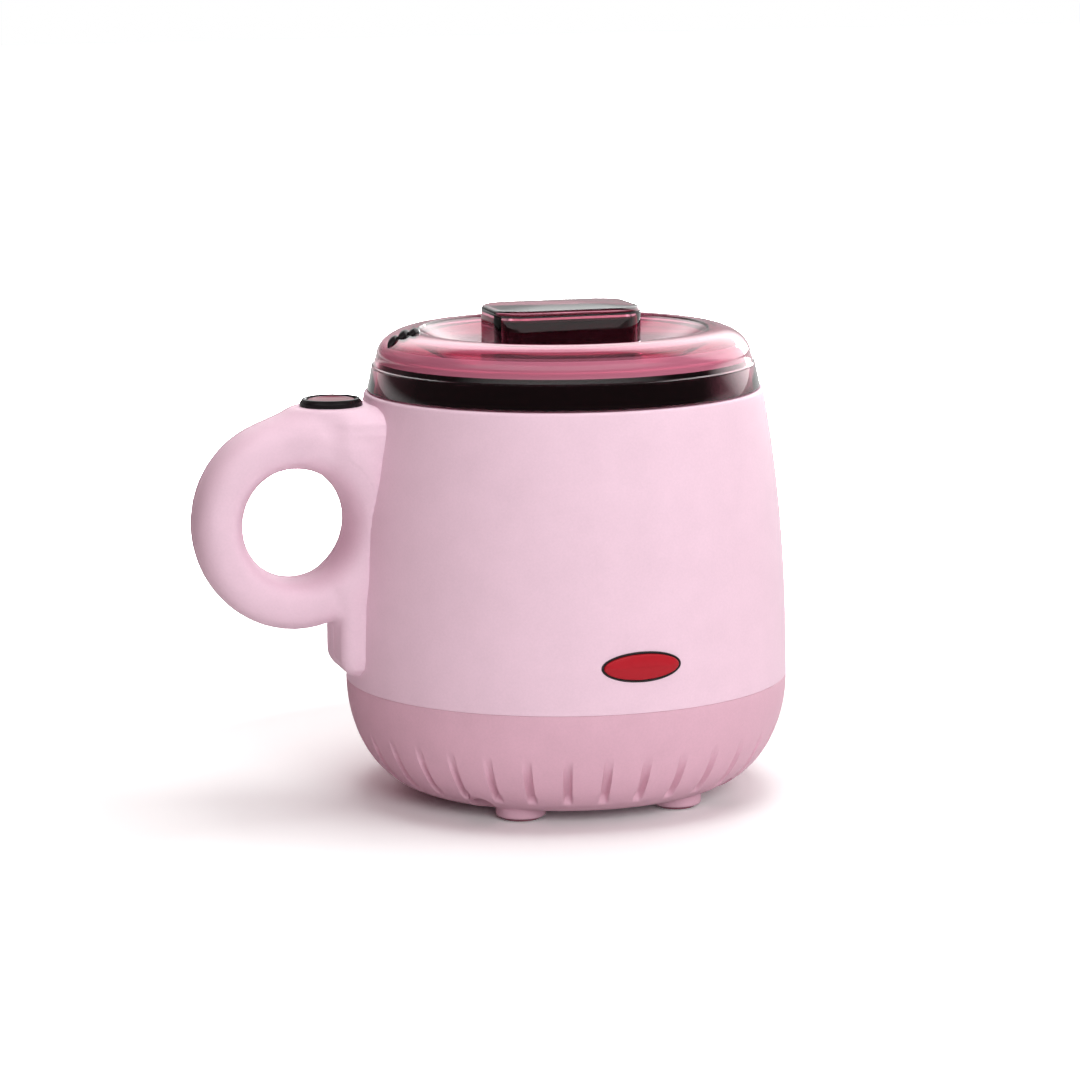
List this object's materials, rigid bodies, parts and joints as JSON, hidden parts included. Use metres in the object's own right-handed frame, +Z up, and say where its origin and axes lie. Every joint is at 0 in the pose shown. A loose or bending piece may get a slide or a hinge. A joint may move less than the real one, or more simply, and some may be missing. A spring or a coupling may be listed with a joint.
{
  "type": "wax warmer pot",
  "caption": "Mug-shaped electric wax warmer: round pink body on a darker base, ring handle with a push button, red lamp, lift-out pot and clear magenta lid with a block knob.",
  "frame": {"origin": "on the vertical axis of the round body, in the plane of the foot pads, which is the table", "axes": "+Z up along the axis of the body, handle towards -X, indicator lamp towards -Y, cord entry towards +Y"},
  "size_m": [0.191, 0.1423, 0.156],
  "materials": {
    "shell_pink": "satin moulded ABS, pale pink",
    "base_pink": "satin moulded ABS, dusty pink",
    "foot_rubber": "soft rubber, dusty pink",
    "black_plastic": "glossy black heat-resistant plastic",
    "black_rubber": "matt black rubber",
    "lid_magenta": "clear magenta plastic",
    "button_magenta": "dark magenta translucent plastic",
    "lamp_red": "red lens",
    "pot_metal": "spun, satin",
    "heater_metal": "pressed, satin",
    "zinc_steel": "zinc plated",
    "mica": "mica sheet",
    "fibre": "glass fibre felt",
    "silicone": "grey silicone",
    "board_green": "circuit board",
    "phenolic_black": "moulded phenolic",
    "relay_blue": "relay case",
    "terminal_green": "terminal block",
    "film_yellow": "film capacitor case",
    "ceramic_white": "unglazed",
    "wire_white": "glass-sleeved wire",
    "wire_grey": "wire",
    "wire_red": "wire",
    "holder_cream": "natural nylon"
  },
  "bodies": {
    "housing": {"outer_shell": "shell_pink", "base_cup": "base_pink", "foot_pads": "foot_rubber", "base_screws": "zinc_steel", "handle_front": "shell_pink", "handle_rear": "shell_pink", "handle_screws": "zinc_steel", "button_bezel": "black_plastic", "button_spring": "zinc_steel", "button_switch": "phenolic_black", "switch_board": "board_green", "indicator_lens": "lamp_red", "lamp_seal": "black_rubber", "indicator_led": "lamp_red", "lamp_holder": "holder_cream", "heater_well": "heater_metal", "well_seal": "silicone", "heater_band": "mica", "band_clamp": "zinc_steel", "clamp_screw": "zinc_steel", "insulation_sleeve": "fibre", "thermostat": "phenolic_black", "thermostat_clip": "zinc_steel", "thermal_fuse": "ceramic_white", "fuse_clip": "zinc_steel", "well_stud": "zinc_steel", "stud_nut": "zinc_steel", "heat_shield": "heater_metal", "shield_screws": "zinc_steel", "control_board": "board_green", "board_screws": "zinc_steel", "power_relay": "relay_blue", "terminal_block": "terminal_green", "filter_capacitor": "film_yellow", "control_chip": "phenolic_black", "cord_gland": "black_rubber", "heater_leads": "wire_white", "switch_lead": "wire_grey", "lamp_lead": "wire_red", "thermostat_leads": "wire_white"},
    "pot": {"wax_pot": "pot_metal", "pot_rim": "black_plastic", "rim_rivets": "zinc_steel"},
    "lid": {"lid_shell": "lid_magenta", "lid_vent": "black_plastic", "lid_knob": "lid_magenta", "knob_core": "black_plastic", "knob_screws": "zinc_steel"},
    "button": {"power_button": "button_magenta"}
  },
  "joints": [
    {"name": "pot_lift", "type": "slide", "parent": "housing", "child": "pot", "axis": [0, 0, 1], "range_m": [0, 0.08]},
    {"name": "lid_lift", "type": "slide", "parent": "pot", "child": "lid", "axis": [0, 0, 1], "range_m": [0, 0.06]},
    {"name": "button_press", "type": "slide", "parent": "housing", "child": "button", "axis": [0, 0, -1], "range_m": [0, 0.0012], "stiffness_N_per_m": 600, "springref_m": -0.002, "deforming": ["button_spring"]}
  ]
}
